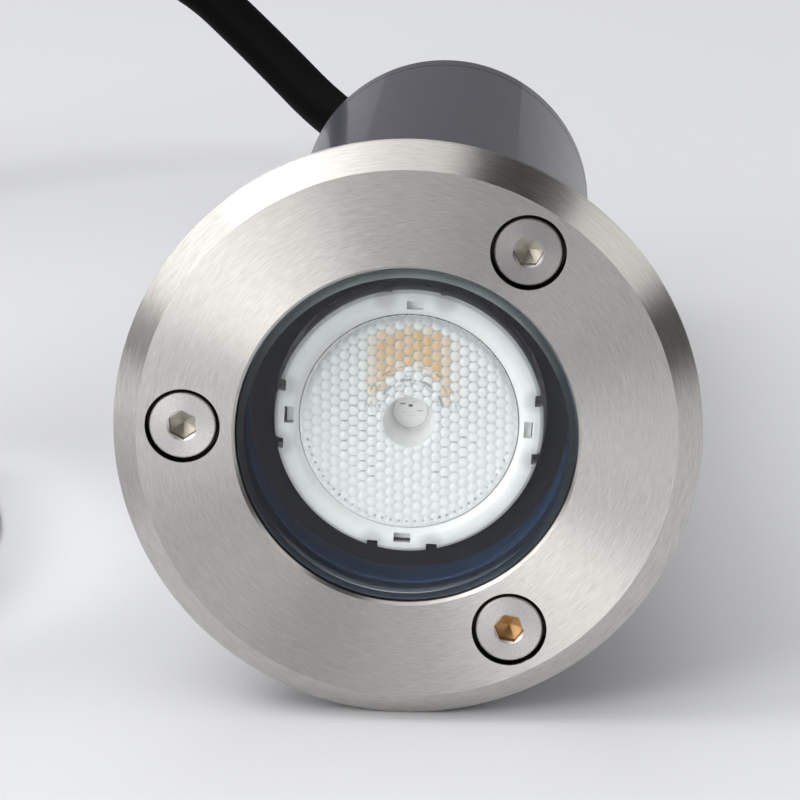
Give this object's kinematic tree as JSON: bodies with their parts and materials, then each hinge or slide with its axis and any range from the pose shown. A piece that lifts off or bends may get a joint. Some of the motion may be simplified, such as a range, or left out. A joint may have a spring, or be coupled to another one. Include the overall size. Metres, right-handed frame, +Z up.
{
  "type": "in ground well light",
  "caption": "Round recessed ground light with a bevelled steel bezel, stepped glass, lens optic, tube body with driver, cable gland and a coiled rubber flying lead.",
  "frame": {"origin": "on the table under the middle of the lamp, which lies on the rim of its bezel and the edge of its rear cap; the flying lead and its coil are left out of that middle", "axes": "+Z up, +Y from the lens towards the gland along the lamp's length (the light's axis falls 5.35 degrees towards the gland), +X to the right as one looks at the lens"},
  "size_m": [0.2327, 0.3002, 0.0897],
  "materials": {
    "brushed_steel": "circular brushed, satin",
    "screw_steel": "satin turned",
    "seal_rubber": "matt",
    "silicone": "matt translucent",
    "glass": "clear toughened",
    "baffle_black": "matt black",
    "holder_white": "semi-translucent white",
    "lens_clear": "clear optical plastic",
    "board_white": "white solder mask",
    "chip_ceramic": "matt",
    "phosphor": "silicone with yellow phosphor",
    "pad_grey": "soft",
    "bare_aluminium": "machined",
    "wire_red": "insulation",
    "wire_black": "insulation",
    "body_paint": "dark grey satin powder coat",
    "board_green": "solder mask",
    "black_plastic": "moulded",
    "ferrite": "ferrite",
    "winding_tape": "polyester tape",
    "capacitor_yellow": "boxed film capacitor",
    "capacitor_black": "sleeved can",
    "terminal_grey": "moulded",
    "core_brown": "insulation",
    "core_blue": "insulation",
    "core_green_yellow": "insulation",
    "tinned_brass": "tinned",
    "nickel_brass": "nickel plated, satin",
    "cord_rubber": "satin rubber sheath",
    "copper": "stranded copper"
  },
  "bodies": {
    "lamp": {"bezel": "brushed_steel", "screw_seals": "seal_rubber", "bezel_gasket": "seal_rubber", "glass": "glass", "glass_gasket": "silicone", "baffle": "baffle_black", "lens_holder": "holder_white", "tir_lens": "lens_clear", "led_board": "board_white", "led_package": "chip_ceramic", "led_phosphor": "phosphor", "thermal_pad": "pad_grey", "led_carrier": "bare_aluminium", "board_screws": "screw_steel", "body_screws": "screw_steel", "led_wire_red": "wire_red", "led_wire_black": "wire_black", "front_housing": "body_paint", "body_gasket": "seal_rubber", "body_tube": "body_paint", "driver_board": "board_green", "driver_bracket_front": "black_plastic", "driver_bracket_rear": "black_plastic", "transformer_core": "ferrite", "transformer_coil": "winding_tape", "input_capacitor": "capacitor_yellow", "smoothing_capacitor": "capacitor_black", "choke": "ferrite", "terminal_block": "terminal_grey", "terminal_screws": "screw_steel", "core_brown_inner": "core_brown", "core_blue_inner": "core_blue", "core_earth_inner": "core_green_yellow", "earth_tag": "tinned_brass", "rear_gasket": "seal_rubber", "rear_cap": "body_paint", "rear_cap_screws": "screw_steel", "gland_body": "nickel_brass", "gland_ring": "seal_rubber", "gland_seal": "seal_rubber", "gland_locknut": "nickel_brass", "cord_lead": "cord_rubber", "cord_coil": "cord_rubber", "coil_tie": "black_plastic", "core_brown": "core_brown", "core_blue": "core_blue", "core_earth": "core_green_yellow", "core_tips": "copper"},
    "screw_1": {"bezel_screw_1": "screw_steel"},
    "screw_2": {"bezel_screw_2": "screw_steel"},
    "screw_3": {"bezel_screw_3": "screw_steel"},
    "nut": {"gland_nut": "nickel_brass"}
  },
  "joints": [
    {"name": "bezel_screw_1_turn", "type": "hinge", "parent": "lamp", "child": "screw_1", "pos_m": [0.01817, -0.0962, 0.07367], "axis": [0, -0.9956, 0.0933], "continuous": true},
    {"name": "bezel_screw_2_turn", "type": "hinge", "parent": "lamp", "child": "screw_2", "pos_m": [-0.03408, -0.09877, 0.04625], "axis": [0, -0.9956, 0.0933], "continuous": true},
    {"name": "bezel_screw_3_turn", "type": "hinge", "parent": "lamp", "child": "screw_3", "pos_m": [0.0159, -0.10171, 0.01491], "axis": [0, -0.9956, 0.0933], "continuous": true},
    {"name": "gland_nut_turn", "type": "hinge", "parent": "lamp", "child": "nut", "pos_m": [0, 0.09376, 0.02689], "axis": [0, 0.9956, -0.0933], "continuous": true}
  ]
}
